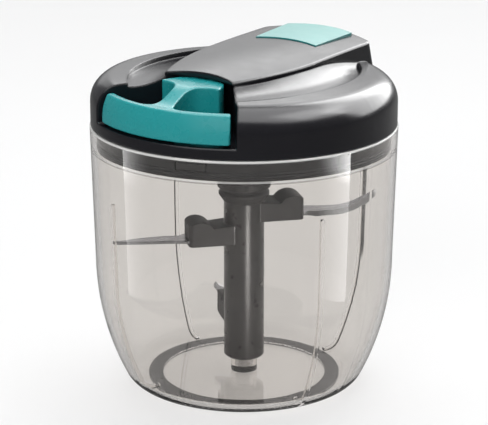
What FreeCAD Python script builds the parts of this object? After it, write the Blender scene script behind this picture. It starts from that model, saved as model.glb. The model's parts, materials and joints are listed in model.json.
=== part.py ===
# Pull-string food chopper: clear bowl, wind-up lid, turning blade column and pull handle.
# Millimetres. The origin is the middle of the base, +Z is up, and the handle is pulled along -Y.

import FreeCAD
import Part

import math
import os

# Bowl
bowl_height = 110.0
rim_radius = 62.5
bowl_wall = 2.2
rim_flare = 1.5
waist_height = 54.0
belly_curve = 107.0
foot_curve = 9.0
floor_thickness = 2.8
bowl_lift = 0.8
rim_rounding = 0.6
rib_count = 4
rib_angle = -23.5
rib_width = 1.6
rib_depth = 1.2
rib_drop = 17.5

# Non-slip ring, pressed into a groove under the bowl
ring_inner = 34.0
ring_outer = 40.0
ring_height = 2.2
ring_chamfer = 0.3

# Pin that the blade column turns on
pin_radius = 2.5
pin_top = 24.0
pin_boss_radius = 5.5
pin_boss_top = 9.5
pin_embed = 4.0
pin_rounding = 1.5

# Blade column
column_radius = 8.3
column_bottom = 9.9
column_gap = 2.4
column_chamfer = 0.8
collar_radius = 10.9
collar_height = 8.6
collar_flare = 5.0
collar_lip_inset = 0.5
collar_lip_low = 2.0
collar_lip_high = 1.0
collar_groove = 1.4
collar_chamfer = 1.5
socket_depth = 11.6
pin_clearance = 0.1
pin_end_gap = 0.3
arm_reach = 24.0
arm_width = 13.0
arm_height = 8.6
arm_drop = 2.0
arm_knob_radius = 5.0
arm_knob_rise = 1.6
arm_dip = 1.2
arm_rounding = 2.0

# Blades: height above the base, direction from +X, gap from the tip to the waist, and upsweep
blade_heights = {"upper_blade": 71.0, "middle_blade": 62.0, "lower_blade": 24.0}
blade_turns = {"upper_blade": 49.0, "middle_blade": 229.0, "lower_blade": 139.0}
blade_wall_gaps = {"upper_blade": 2.3, "middle_blade": 4.8, "lower_blade": 10.8}
blade_rises = {"upper_blade": 6.0, "middle_blade": 1.2, "lower_blade": 2.0}
blade_root = 10.0
blade_thickness = 1.2
blade_root_width = 11.0
blade_root_taper = 1.0
blade_tip_width = 5.0
blade_tip_back = 3.1
blade_edge_bow = 1.5
blade_back_bow = 3.0
blade_nose = 3.0
blade_nose_back = 2.5
blade_nose_drop = 1.5
blade_bend_share = 0.4

# Lid cover. Its heights, as all in the lid, are taken from the bowl's rim plane
lid_gap = 0.3
lid_inset = 0.4
cover_wall = 2.0
shoulder_height = 9.8
shoulder_curve = 10.2
dome_rise = 2.4

# Strap across the lid: its outline, its crown and the lean of its rear wall
strap_front_y = -38.0
strap_front_half = 12.7
strap_middle_y = -16.0
strap_middle_half = 22.2
strap_rear_y = 10.0
strap_rear_half = 26.7
strap_peak_y = 72.0
strap_peak = 29.1
strap_low_y = -33.0
strap_low = 24.6
strap_crown = 190.0
strap_rear_inset = 3.5
strap_rear_level = 28.0
strap_foot_inset = 0.2
strap_foot_level = 16.0
strap_base = 5.0
strap_corner = 4.0
strap_edge = 1.0

# Scooped dishes beside the strap: a round outer edge, and a hollow floor given at five places
# by y, the floor's place and height beside the strap, and its place and height at the outer edge
dish_centre_x = -14.5
dish_centre_y = 1.0
dish_radius = 59.0
dish_sag = 1.7
dish_margin = 4.0
dish_stations = [
    (-46.0, 13.0, 21.4, 28.0, 19.9),
    (-26.0, 18.7, 22.0, 39.0, 18.9),
    (2.0, 26.0, 23.2, 44.5, 18.4),
    (26.0, 26.7, 22.8, 39.5, 18.2),
    (46.0, 26.7, 19.8, 33.0, 18.0),
]

# Inlay on the strap, standing a little higher at its rear
inlay_front_y = 29.0
inlay_front_half = 15.0
inlay_rear_half = 16.2
inlay_rear_inset = 2.2
inlay_dip = 2.0
inlay_proud = 0.4
inlay_tilt = 1.6
inlay_sunk = 1.0
inlay_gap = 0.1
inlay_height = 6.0

# Pocket for the handle: radial sides, slanted shoulders, a round rear and the strap's lip over it
pocket_floor = 4.6
pocket_floor_wall = 1.8
pocket_wall = 1.8
pocket_half_angle = 33.5
pocket_side_inset = 6.1
pocket_round_y = -37.5
pocket_lip = 22.9
pocket_lip_cover = 6.6
pocket_lip_half = 17.5

# Pull handle
grip_inset = 1.1
grip_thickness = 5.5
grip_half_angle = 31.0
grip_gap = 0.6
grip_height = 12.0
plate_round = 15.0
plate_gap = 2.6
plate_front_y = -36.5
plate_height = 17.1
neck_half = 4.0
neck_overlap = 2.0
neck_fillet = 6.0
sweep_inset = 4.5
grip_edge = 0.9

# Cord, guide and knot
cord_radius = 0.7
cord_turns = 5.5
cord_spacing = 0.45
cord_bend_y = -15.5
cord_bend = 4.0
cord_play = 0.3
cord_end_gap = 0.1
winding_play = 0.2
drum_play = 0.05
winding_lead = 2.0
guide_cord_play = 0.8
guide_wall = 1.5
guide_rim = 1.2
guide_flange_thickness = 1.0
guide_sink = 0.6
guide_stand = 0.9
guide_play = 0.2
guide_mouth = 0.5
knot_radius = 2.6
knot_y = -33.6

# Lower housing of the lid
skirt_play = 0.9
skirt_wall = 2.4
skirt_depth = 8.5
housing_floor = 2.4
housing_top = 2.6
housing_fit = 0.1
housing_step = 0.7
nose_wall = 3.0
nose_depth = 17.0
sleeve_wall = 1.0
sleeve_top = 0.2
seal_low = 7.6
seal_high = 5.1
seal_depth = 1.4
seal_stand = 0.4
seal_play = 0.05
seal_groove_half = 0.4
seal_bevel = 0.5
lug_count = 3
lug_angle = -73.5
lug_half_angle = 5.5
lug_stand = 1.7
lug_low = 4.6
lug_high = 2.0
lug_play = 0.4

# Screws through the lower housing into the cover
screw_places = [(40.0, -24.0), (-40.0, -24.0), (30.0, 38.0), (-30.0, 38.0)]
screw_boss = 3.6
screw_radius = 1.45
screw_head = 2.8
screw_head_height = 1.8
screw_length = 16.0
screw_hole_play = 0.15
screw_head_level = -6.4
screw_hole_top = 12.0
screw_head_play = 0.2
screw_head_rounding = 0.8
screw_slot_length = 3.2
screw_slot_width = 0.8
screw_slot_depth = 1.0
boss_split = 2.4
boss_gap = 0.2

# Reel, shaft and spring
reel_cup_gap = 0.8
reel_cup_wall = 1.4
reel_cup_floor_gap = 0.7
reel_cup_top = 2.2
reel_base_top = 3.8
reel_flange_radius = 16.4
drum_radius = 12.1
flange_thickness = 1.4
flange_rounding = 0.5
shaft_radius = 3.95
bush_wall = 1.5
bush_play = 0.05
bush_end_gap = 0.2
shaft_flats = 8.0
shaft_flat_play = 0.1
hex_end_flats = 6.6
hex_end_play = 0.2
hex_end_gap = 0.2
hex_end_length = 13.2
shaft_flats_stand = 0.025
top_pin_length = 4.6
shaft_end_gap = 0.3
top_pin_radius = 3.0
top_post_wall = 3.0
top_post_gap = 1.425
washer_stand = 0.7
washer_thickness = 0.4
washer_gap = 0.2
circlip_radius = 5.6
circlip_thickness = 0.6
circlip_drop = 1.0
circlip_groove = 0.5
circlip_opening = 2.4
seal_ring_gap = 0.15
shaft_seal_height = 2.2
spring_gap = 0.9
spring_pitch = 1.9
spring_half_turns = 12
spring_strip = 0.5
spring_height = 5.6

# Points on a coil for measuring its least gap to itself
coil_points = 960

# How far cutters reach past what they cut, and how near counts as the same place
over = 1.0
near = 0.01

# Sizes and places worked out from the values above: bowl, lid and housing
rim = bowl_height
waist_radius = rim_radius - rim_flare
wall_inside = waist_radius - bowl_wall
lid_radius = rim_radius - lid_inset
cover_bottom = rim + lid_gap
skirt_radius = rim_radius - bowl_wall - skirt_play
skirt_bottom = rim - skirt_depth
housing_floor_top = skirt_bottom + housing_floor
seal_reach = skirt_radius + seal_stand
lug_reach = skirt_radius + lug_stand
rib_top = skirt_bottom - rib_drop
column_top = rim - nose_depth - column_gap
collar_low = column_top - collar_height
strap_rear_radius = lid_radius - strap_rear_inset
strap_foot_radius = lid_radius - strap_foot_inset
inlay_rear_radius = strap_rear_radius - inlay_rear_inset

# Pocket, handle and guide
pocket_side_radius = lid_radius - pocket_side_inset
pocket_round = plate_round + plate_gap
pocket_rear_y = pocket_round_y + pocket_round
pocket_lip_y = pocket_rear_y - pocket_lip_cover
grip_outer = lid_radius - grip_inset
sweep_start_y = sweep_inset - (grip_outer - grip_thickness)
guide_bore = cord_radius + guide_cord_play
guide_outer = guide_bore + guide_wall
guide_flange = guide_outer + guide_rim
guide_seat_y = pocket_rear_y + guide_sink
guide_inner_y = pocket_rear_y + pocket_wall + guide_stand
knot_seat_radius = knot_radius + cord_play

# Shaft, spring and reel
shaft_bore = shaft_radius + bush_play
bush_outer = shaft_bore + bush_wall
nose_radius = bush_outer + nose_wall
sleeve_radius = bush_outer + sleeve_wall
washer_radius = sleeve_radius + washer_stand
spring_inner = sleeve_radius + spring_gap
spring_outer = spring_inner + spring_half_turns * spring_pitch / 2 + spring_strip
reel_cup_radius = spring_outer + reel_cup_gap + reel_cup_wall
reel_cup_low = housing_floor_top + reel_cup_floor_gap
shaft_shoulder = sleeve_top + washer_thickness + washer_gap
cord_pitch = 2 * cord_radius + cord_spacing
drum_low = rim + reel_base_top
drum_high = drum_low + cord_turns * cord_pitch + 2 * cord_radius + winding_play
flange_top = drum_high + flange_thickness
cord_centre = drum_radius + cord_radius + drum_play
cord_level = drum_high - cord_radius - winding_play / 2
top_post_radius = top_pin_radius + top_post_wall
top_post_low = flange_top + top_post_gap
shaft_top = top_post_low + top_pin_length
shaft_end = rim - nose_depth - hex_end_length
circlip_low = rim - nose_depth - circlip_drop


def vec(x, y, z):
    return FreeCAD.Vector(x, y, z)


up = vec(0, 0, 1)


def polar(radius, angle, z=0.0):
    turn = math.radians(angle)
    return vec(radius * math.cos(turn), radius * math.sin(turn), z)


def cylinder(radius, low, high, x=0.0, y=0.0):
    return Part.makeCylinder(radius, high - low, vec(x, y, low))


def ring(outer, inner, low, high):
    return cylinder(outer, low, high).cut(cylinder(inner, low - over, high + over))


def along_y(radius, start_y, end_y):
    """Cylinder along Y at the cord's level."""
    return Part.makeCylinder(radius, end_y - start_y, vec(0, start_y, cord_level), vec(0, 1, 0))


def line(start, end):
    return Part.LineSegment(start, end).toShape()


def arc(start, middle, end):
    return Part.Arc(start, middle, end).toShape()


def polyline(points):
    return [line(points[i], points[i + 1]) for i in range(len(points) - 1)]


def face(edges):
    return Part.Face(Part.Wire(Part.__sortEdges__(edges)))


def prism(outline, low, high):
    """Raises a flat outline drawn at z = 0 from low to high."""
    solid = outline.extrude(vec(0, 0, high - low))
    solid.translate(vec(0, 0, low))
    return solid


def turned(edges):
    """Turns a profile in the XZ plane about the Z axis."""
    return face(edges).revolve(vec(0, 0, 0), up, 360)


def turned_points(points):
    corners = [vec(r, 0, z) for r, z in points]
    return turned(polyline(corners + corners[:1]))


def hexagon(flats, low, high):
    corner_radius = flats / math.sqrt(3)
    corners = [polar(corner_radius, 60 * i) for i in range(7)]
    return prism(face(polyline(corners)), low, high)


def sector(inner, outer, low, high, middle, half):
    """Part of a ring, half degrees each side of the middle angle."""
    a, b = middle - half, middle + half
    edges = [
        arc(polar(outer, a), polar(outer, middle), polar(outer, b)),
        line(polar(outer, b), polar(inner, b)),
        arc(polar(inner, b), polar(inner, middle), polar(inner, a)),
        line(polar(inner, a), polar(outer, a)),
    ]
    return prism(face(edges), low, high)


def mirrored(shape):
    return shape.mirror(vec(0, 0, 0), vec(1, 0, 0))


def together(shapes):
    return shapes[0].multiFuse(shapes[1:]).removeSplitter()


def one_solid(shape):
    return max(shape.Solids, key=lambda solid: solid.Volume)


def least_gap(path, turns, thickness):
    """Least distance of a coil to itself, between points at least half a turn apart."""
    points = path.discretize(Number=coil_points)
    apart = int(coil_points / turns / 2)
    distances = [
        (points[i] - points[j]).Length
        for i in range(coil_points)
        for j in range(i + apart, coil_points)
    ]
    return round(min(distances) - thickness, 3)


# Bowl

def bowl_body(inset, bottom, top):
    """Solid inside the bowl's outer surface, brought in by inset, with a flat bottom."""
    centre = vec(waist_radius - belly_curve, 0, waist_height)
    belly = belly_curve - inset
    corner = foot_curve - inset
    drop = waist_height - bottom - corner
    reach = math.sqrt((belly - corner) ** 2 - drop ** 2)
    corner_centre = centre + vec(reach, 0, -drop)
    join = centre + (corner_centre - centre) * (belly / (belly - corner))
    join_turn = math.atan2(join.z - centre.z, join.x - centre.x)

    def on_circle(middle, radius, turn):
        return middle + vec(radius * math.cos(turn), 0, radius * math.sin(turn))

    foot = vec(corner_centre.x, 0, bottom)
    waist = vec(waist_radius - inset, 0, waist_height)
    lean = (rim_radius - waist_radius) / (bowl_height - waist_height)
    mouth = vec(waist.x + lean * (top - waist_height), 0, top)
    corner_middle = on_circle(corner_centre, corner, (join_turn - math.pi / 2) / 2)
    edges = [
        line(vec(0, 0, bottom), foot),
        arc(foot, corner_middle, join),
        arc(join, on_circle(centre, belly, join_turn / 2), waist),
        line(waist, mouth),
        line(mouth, vec(0, 0, top)),
        line(vec(0, 0, top), vec(0, 0, bottom)),
    ]
    return turned(edges)


def bowl_rib(angle):
    """Slim upright rib on the inner wall, with a round top."""
    half = rib_width / 2
    low = vec(0, -half, 0)
    side = vec(0, half, 0)
    high = rib_top - half
    edges = [
        line(low, side),
        line(side, vec(0, half, high)),
        arc(vec(0, half, high), vec(0, 0, rib_top), vec(0, -half, high)),
        line(vec(0, -half, high), low),
    ]
    slab = face(edges).extrude(vec(rim_radius, 0, 0))
    slab.rotate(vec(0, 0, 0), up, angle)
    return slab


def make_bowl():
    outer = bowl_body(0, bowl_lift, bowl_height)
    floor = bowl_lift + floor_thickness
    inner = bowl_body(bowl_wall, floor, bowl_height + over)
    bowl = outer.cut(inner)
    rim_edges = [e for e in bowl.Edges if e.BoundBox.ZMin > bowl_height - near]
    bowl = bowl.makeFillet(rim_rounding, rim_edges)
    lining = inner.cut(bowl_body(bowl_wall + rib_depth, floor + rib_depth, bowl_height + 2 * over))
    ribs = [lining.common(bowl_rib(rib_angle + 360 * i / rib_count)) for i in range(rib_count)]
    boss = cylinder(pin_boss_radius, floor - over, pin_boss_top)
    centre_clear = cylinder(ring_outer, 0, bowl_height)
    bowl = together([bowl, boss] + [one_solid(rib.cut(centre_clear)) for rib in ribs])
    bowl = bowl.cut(cylinder(pin_radius, pin_boss_top - pin_embed, pin_boss_top + over))
    bowl = bowl.cut(ring(ring_outer, ring_inner, 0, ring_height))
    for i in range(lug_count):
        low = rim - lug_low - lug_play
        half = lug_half_angle + math.degrees(lug_play / rim_radius)
        middle = lug_angle + 360 * i / lug_count
        bowl = bowl.cut(sector(skirt_radius, lug_reach + lug_play, low, rim + over, middle, half))
    return one_solid(bowl)


def make_base_ring():
    body = ring(ring_outer, ring_inner, 0, ring_height)
    edges = [e for e in body.Edges if e.BoundBox.ZMax < near]
    return body.makeChamfer(ring_chamfer, edges)


def make_pivot_pin():
    body = cylinder(pin_radius, pin_boss_top - pin_embed, pin_top)
    tip = [e for e in body.Edges if e.BoundBox.ZMin > pin_top - near]
    return body.makeFillet(pin_rounding, tip)


# Blades

def make_blade(name):
    """Flat curved blade whose tip sweeps upward. Its cutting edge leads as the column turns."""
    tip = wall_inside - blade_wall_gaps[name]
    height = blade_heights[name]
    rise = blade_rises[name]
    bend = arm_reach + (tip - arm_reach) * blade_bend_share
    half = blade_thickness / 2
    sweep = ((tip - bend) ** 2 + rise ** 2) / (2 * rise)
    centre = vec(bend, 0, sweep)
    end_turn = math.asin((tip - bend) / sweep)

    def on_sweep(radius, turn):
        return centre + vec(radius * math.sin(turn), 0, -radius * math.cos(turn))

    outer, inner = sweep + half, sweep - half
    edges = [
        line(vec(blade_root, 0, -half), vec(bend, 0, -half)),
        arc(on_sweep(outer, 0), on_sweep(outer, end_turn / 2), on_sweep(outer, end_turn)),
        line(on_sweep(outer, end_turn), on_sweep(inner, end_turn)),
        arc(on_sweep(inner, end_turn), on_sweep(inner, end_turn / 2), on_sweep(inner, 0)),
        line(vec(bend, 0, half), vec(blade_root, 0, half)),
        line(vec(blade_root, 0, half), vec(blade_root, 0, -half)),
    ]
    strip = face(edges).extrude(vec(0, 2 * arm_width, 0))
    strip.translate(vec(0, -arm_width, 0))
    root_half = blade_root_width / 2
    edge_middle = (arm_reach + tip) / 2
    nose_front = vec(tip - blade_nose, blade_tip_back - blade_tip_width, 0)
    nose_back = vec(tip - blade_nose_back, blade_tip_back, 0)
    root_front, root_back = vec(arm_reach, -root_half, 0), vec(arm_reach, root_half, 0)
    cutting = arc(root_front, vec(edge_middle, -root_half - blade_edge_bow, 0), nose_front)
    nose = arc(nose_front, vec(tip, blade_tip_back - blade_nose_drop, 0), nose_back)
    back = arc(nose_back, vec(edge_middle, root_half - blade_back_bow, 0), root_back)
    root = polyline([
        root_back,
        vec(blade_root, root_half - blade_root_taper, 0),
        vec(blade_root, blade_root_taper - root_half, 0),
        root_front,
    ])
    outline = prism(face([cutting, nose, back] + root), -arm_height, 2 * arm_height)
    blade = strip.common(outline)
    blade.rotate(vec(0, 0, 0), up, blade_turns[name])
    blade.translate(vec(0, 0, height))
    return one_solid(blade)


def blade_arm(name):
    """Moulded arm round the root of a blade, with a raised knob at its end."""
    half = arm_width / 2
    knob_x = arm_reach - arm_knob_radius
    top = arm_height - arm_drop
    dip = top - arm_dip
    edges = [
        line(vec(0, 0, -arm_drop), vec(arm_reach, 0, -arm_drop)),
        line(vec(arm_reach, 0, -arm_drop), vec(arm_reach, 0, top)),
        arc(
            vec(arm_reach, 0, top),
            vec(knob_x, 0, top + arm_knob_rise),
            vec(knob_x - arm_knob_radius, 0, dip),
        ),
        line(vec(knob_x - arm_knob_radius, 0, dip), vec(0, 0, top)),
        line(vec(0, 0, top), vec(0, 0, -arm_drop)),
    ]
    arm = face(edges).extrude(vec(0, arm_width, 0))
    arm.translate(vec(0, -half, 0))
    end_edges = [e for e in arm.Edges if e.BoundBox.XMin > arm_reach - near and e.BoundBox.ZLength > over]
    arm = arm.makeFillet(arm_rounding, end_edges)
    arm.rotate(vec(0, 0, 0), up, blade_turns[name])
    arm.translate(vec(0, 0, blade_heights[name]))
    return arm


def make_blade_hub(blades):
    lip_radius = collar_radius - collar_lip_inset
    profile = [
        (0, column_bottom),
        (column_radius - column_chamfer, column_bottom),
        (column_radius, column_bottom + column_chamfer),
        (column_radius, collar_low - collar_flare),
        (lip_radius, collar_low - collar_lip_low),
        (lip_radius, collar_low - collar_lip_high),
        (collar_radius - collar_groove, collar_low),
        (collar_radius, collar_low + collar_groove),
        (collar_radius, column_top - collar_chamfer),
        (collar_radius - collar_chamfer, column_top),
        (0, column_top),
    ]
    column = turned_points(profile)
    hub = together([column] + [blade_arm(name) for name in blades])
    socket_flats = hex_end_flats + 2 * hex_end_play
    hub = hub.cut(hexagon(socket_flats, column_top - socket_depth, column_top + over))
    hub = hub.cut(cylinder(pin_radius + pin_clearance, 0, pin_top + pin_end_gap))
    for blade in blades.values():
        hub = hub.cut(blade)
    return one_solid(hub)


# Lid cover

def dome(inset):
    """Solid under the lid's outer surface, brought in by inset."""
    side = lid_radius - inset
    shoulder = rim + shoulder_height
    curve = shoulder_curve - inset
    edge = vec(lid_radius - shoulder_curve, 0, shoulder + curve)
    crest = edge.z + dome_rise
    sphere = (edge.x ** 2 + dome_rise ** 2) / (2 * dome_rise)
    middle_x = edge.x / 2
    middle = vec(middle_x, 0, crest - sphere + math.sqrt(sphere ** 2 - middle_x ** 2))
    low = cover_bottom - inset
    bevel = curve * math.sqrt(0.5)
    edges = [
        line(vec(0, 0, low), vec(side, 0, low)),
        line(vec(side, 0, low), vec(side, 0, shoulder)),
        arc(vec(side, 0, shoulder), vec(edge.x + bevel, 0, shoulder + bevel), edge),
        arc(edge, middle, vec(0, 0, crest)),
        line(vec(0, 0, crest), vec(0, 0, low)),
    ]
    return turned(edges)


def under_strap(raise_by):
    """Solid under the strap's crowned top surface, moved up or down by raise_by."""
    span = strap_peak_y - strap_low_y
    drop = strap_peak - strap_low
    side_curve = (span ** 2 + drop ** 2) / (2 * drop)

    def crest(y):
        fall = side_curve - math.sqrt(side_curve ** 2 - (y - strap_peak_y) ** 2)
        return vec(0, y, rim + strap_peak - fall + raise_by)

    front, rear = -lid_radius, lid_radius
    axis_z = rim + strap_peak - strap_crown
    base_z = rim - nose_depth
    edges = [
        arc(crest(front), crest(0), crest(rear)),
        line(crest(rear), vec(0, rear, base_z)),
        line(vec(0, rear, base_z), vec(0, front, base_z)),
        line(vec(0, front, base_z), crest(front)),
    ]
    side = face(edges)
    swing = math.degrees(math.atan(lid_radius / strap_crown))
    side.rotate(vec(0, 0, axis_z), vec(0, 1, 0), -swing)
    return side.revolve(vec(0, 0, axis_z), vec(0, 1, 0), 2 * swing)


def strap_outline(inset):
    """Flared outline of the strap, running on past the lid at the rear."""
    half = strap_rear_half - inset
    front = strap_front_half - inset
    middle = strap_middle_half - inset
    rear = lid_radius + over
    right = [
        arc(
            vec(front, strap_front_y, 0),
            vec(middle, strap_middle_y, 0),
            vec(half, strap_rear_y, 0),
        ),
        line(vec(half, strap_rear_y, 0), vec(half, rear, 0)),
    ]
    edges = right + [mirrored(edge) for edge in right]
    edges.append(line(vec(half, rear, 0), vec(-half, rear, 0)))
    edges.append(line(vec(front, strap_front_y, 0), vec(-front, strap_front_y, 0)))
    return face(edges)


def strap_block(inset):
    """Upright block of the strap with its leaning round rear wall."""
    lean = (strap_foot_radius - strap_rear_radius) / (strap_rear_level - strap_foot_level)
    high = strap_peak + over
    top_radius = strap_rear_radius - lean * (high - strap_rear_level) - inset
    foot_radius = strap_foot_radius - inset
    rear_wall = turned_points([
        (0, rim + strap_base),
        (foot_radius, rim + strap_base),
        (foot_radius, rim + strap_foot_level),
        (top_radius, rim + high),
        (0, rim + high),
    ])
    block = prism(strap_outline(inset), rim + strap_base, rim + high)
    return one_solid(block.common(rear_wall))


def make_strap():
    block = strap_block(0)
    corners = [
        e for e in block.Edges
        if e.BoundBox.YMin > strap_peak_y / 2
        and e.BoundBox.ZLength > over
        and abs(abs(e.CenterOfMass.x) - strap_rear_half) < near
    ]
    block = block.makeFillet(strap_corner, corners)
    strap = one_solid(block.common(under_strap(0)))
    top = [
        e for e in strap.Edges
        if e.BoundBox.ZMin > rim + pocket_lip and e.BoundBox.YMax > strap_front_y + over
    ]
    return strap.makeFillet(strap_edge, top)


def dish_section(station, drop):
    """Closed section above the hollow floor at one station, lowered by drop."""
    y, foot_x, foot_z, outer_x, outer_z = station
    foot = vec(foot_x, y, rim + foot_z - drop)
    outer = vec(outer_x, y, rim + outer_z - drop)
    chord = outer - foot
    half = chord.Length / 2
    radius = (half ** 2 + dish_sag ** 2) / (2 * dish_sag)
    across = vec(-chord.z, 0, chord.x).normalize()
    centre = (foot + outer) * 0.5 + across * (radius - dish_sag)
    spread = math.asin(half / radius) + dish_margin / radius

    def on_floor(turn):
        return centre - across * (radius * math.cos(turn)) + chord * (
            radius * math.sin(turn) / chord.Length
        )

    start, middle, end = on_floor(-spread), on_floor(0), on_floor(spread)
    high = rim + strap_peak + 2 * dish_margin
    return Part.Wire([
        arc(start, middle, end),
        line(end, vec(end.x, y, high)),
        line(vec(end.x, y, high), vec(start.x, y, high)),
        line(vec(start.x, y, high), start),
    ])


def dish_space(drop):
    """Space above the dish's floor on the right of the strap, lowered by drop."""
    sections = [dish_section(station, drop) for station in dish_stations]
    return Part.makeLoft(sections, True, False)


def dish_block(grow):
    """Upright block inside the dish's round outer edge, on the right of the strap."""
    radius = dish_radius + grow
    front_y = dish_stations[0][0]
    start_x = dish_centre_x + math.sqrt(radius ** 2 - (front_y - dish_centre_y) ** 2)
    rear_y = dish_centre_y + math.sqrt(radius ** 2 - dish_centre_x ** 2)
    edges = [
        line(vec(0, front_y, 0), vec(start_x, front_y, 0)),
        arc(
            vec(start_x, front_y, 0),
            vec(dish_centre_x + radius, dish_centre_y, 0),
            vec(0, rear_y, 0),
        ),
        line(vec(0, rear_y, 0), vec(0, front_y, 0)),
    ]
    return prism(face(edges), rim + strap_base, rim + strap_peak + dish_margin)


def pocket_sides(grow):
    """Right half of the pocket's edge, from the rim back to where it meets its round rear."""
    turn = math.radians(pocket_half_angle)
    far = 2 * lid_radius
    out = vec(math.sin(turn), -math.cos(turn), 0)
    sideways = vec(math.cos(turn), math.sin(turn), 0)
    shoulder = out * pocket_side_radius
    centre = vec(0, pocket_round_y, 0)
    away = shoulder - centre
    touch_turn = math.atan2(away.y, away.x) + math.acos(pocket_round / away.Length)
    normal = vec(math.cos(touch_turn), math.sin(touch_turn), 0)
    radius = pocket_round + grow
    touch = centre + normal * radius
    bend = sideways.getAngle(normal) / 2
    corner = shoulder + (sideways + normal).normalize() * (grow / math.cos(bend))
    return out * far + sideways * grow, corner, touch


def pocket_outline(grow):
    """Outline of the handle pocket: wide at the front, round at the rear."""
    front, corner, touch = pocket_sides(grow)
    right = polyline([front, corner, touch])
    edges = right + [mirrored(edge) for edge in right]
    rear = vec(0, pocket_round_y + pocket_round + grow, 0)
    edges.append(arc(touch, rear, vec(-touch.x, touch.y, 0)))
    edges.append(line(front, vec(-front.x, front.y, 0)))
    return face(edges)


def lip_outline():
    """Outline of the pocket above the strap's lip, whose front edge is a shallow arc."""
    front, corner, touch = pocket_sides(0)
    share = (corner.x - pocket_lip_half) / (corner.x - touch.x)
    meet = corner + (touch - corner) * share
    right = polyline([front, corner, meet])
    edges = right + [mirrored(edge) for edge in right]
    edges.append(arc(meet, vec(0, pocket_lip_y, 0), vec(-meet.x, meet.y, 0)))
    edges.append(line(front, vec(-front.x, front.y, 0)))
    return face(edges)


def inlay_block(gap):
    rear = inlay_rear_radius + gap
    front_half = inlay_front_half + gap
    rear_half = inlay_rear_half + gap
    rear_y = math.sqrt(rear ** 2 - rear_half ** 2)
    front_y = inlay_front_y - gap
    edges = [
        arc(vec(-front_half, front_y, 0), vec(0, front_y + inlay_dip, 0), vec(front_half, front_y, 0)),
        line(vec(front_half, front_y, 0), vec(rear_half, rear_y, 0)),
        arc(vec(rear_half, rear_y, 0), vec(0, rear, 0), vec(-rear_half, rear_y, 0)),
        line(vec(-rear_half, rear_y, 0), vec(-front_half, front_y, 0)),
    ]
    return prism(face(edges), rim + strap_peak - inlay_height, rim + strap_peak + inlay_height)


def guide_seat():
    """Cutter for the guide's hole and flange seat, along Y at the cord's level."""
    hole_start = guide_seat_y - guide_flange
    hole = along_y(guide_outer, hole_start, guide_inner_y + over)
    seat = along_y(guide_flange + guide_play, hole_start, guide_seat_y)
    return hole.fuse(seat)


def make_lid_cover():
    space = dish_space(0)
    strap = strap_block(0)
    outside = together([one_solid(dome(0)), make_strap()])
    for turn in (False, True):
        block = dish_block(0).cut(strap)
        scoop = block.common(space)
        flank = block.cut(space).common(dome(-dish_margin))
        if turn:
            scoop, flank = mirrored(scoop), mirrored(flank)
        outside = outside.cut(scoop).fuse(one_solid(flank))
    outside = outside.removeSplitter()
    top = rim + strap_peak + over
    lower_pocket = prism(pocket_outline(0), rim + pocket_floor, rim + pocket_lip)
    upper_pocket = prism(lip_outline(), rim + pocket_lip - over, top)
    pocket = lower_pocket.fuse(upper_pocket)
    thick_pocket = prism(pocket_outline(pocket_wall), rim + pocket_floor - pocket_floor_wall, top)
    strap_hollow = strap_block(cover_wall).common(under_strap(-cover_wall - inlay_sunk))
    hollow = together([one_solid(dome(cover_wall)), one_solid(strap_hollow)])
    hollow = hollow.cut(thick_pocket)
    backing = dish_block(cover_wall).common(dish_space(cover_wall)).cut(strap_hollow)
    hollow = hollow.cut(backing).cut(mirrored(backing))
    bosses = [cylinder(screw_boss, rim + boss_split, top, x, y) for x, y in screw_places]
    post = cylinder(top_post_radius, top_post_low, top)
    solid_bosses = [boss.common(outside) for boss in bosses + [post]]
    cover = outside.cut(hollow)
    cover = together([cover] + solid_bosses)
    cover = one_solid(cover.cut(pocket))
    for x, y in screw_places:
        cover = cover.cut(cylinder(screw_radius, rim, rim + screw_hole_top, x, y))
    cover = cover.cut(cylinder(top_pin_radius + bush_play, rim, shaft_top + shaft_end_gap))
    recess = inlay_block(inlay_gap).cut(under_strap(-inlay_sunk))
    cover = cover.cut(recess)
    cover = cover.cut(guide_seat())
    return one_solid(cover)


def make_top_inlay():
    top = under_strap(inlay_proud)
    top.rotate(vec(0, inlay_front_y, rim + strap_peak), vec(1, 0, 0), inlay_tilt)
    inlay = inlay_block(0).common(top).cut(under_strap(-inlay_sunk))
    return one_solid(inlay)


def make_cord_guide():
    start_y = guide_seat_y - guide_flange_thickness
    body = along_y(guide_outer, start_y, guide_inner_y)
    body = body.fuse(along_y(guide_flange, start_y, guide_seat_y)).removeSplitter()
    body = body.cut(along_y(guide_bore, start_y - over, guide_inner_y + over))
    mouths = [
        e for e in body.Edges
        if e.Curve.TypeId == "Part::GeomCircle" and abs(e.Curve.Radius - guide_bore) < near
    ]
    return body.makeFillet(guide_mouth, mouths)


# Lower housing

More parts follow.
